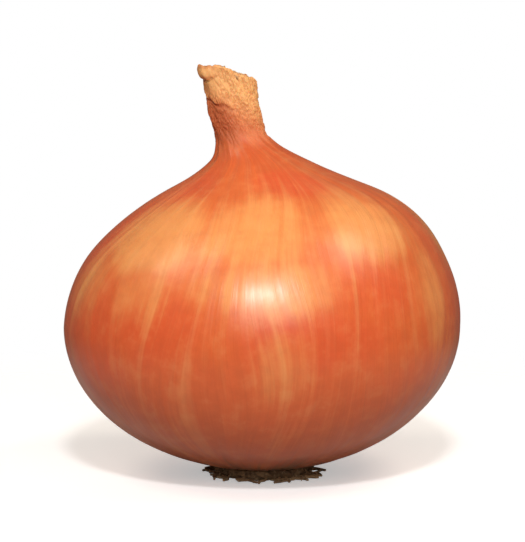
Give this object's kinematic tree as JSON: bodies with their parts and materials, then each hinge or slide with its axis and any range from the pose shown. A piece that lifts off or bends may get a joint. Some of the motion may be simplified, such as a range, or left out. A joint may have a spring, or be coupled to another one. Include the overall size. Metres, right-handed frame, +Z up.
{
  "type": "onion",
  "caption": "Whole dry bulb onion, rounder than it is tall, with papery copper-brown skin, a leaning dried neck and a root plate that it rests on.",
  "frame": {"origin": "centre of the flat underside of the root plate, below the middle of the object's box", "axes": "+Z up along the bulb's axis, from the root plate to the neck; +X towards the fuller shoulder, away from where the neck leans"},
  "size_m": [0.085, 0.085, 0.0879],
  "materials": {
    "papery_skin": "satin",
    "root_cork": "matte"
  },
  "bodies": {
    "root": {"bulb": "papery_skin", "root_plate": "root_cork"}
  },
  "joints": []
}
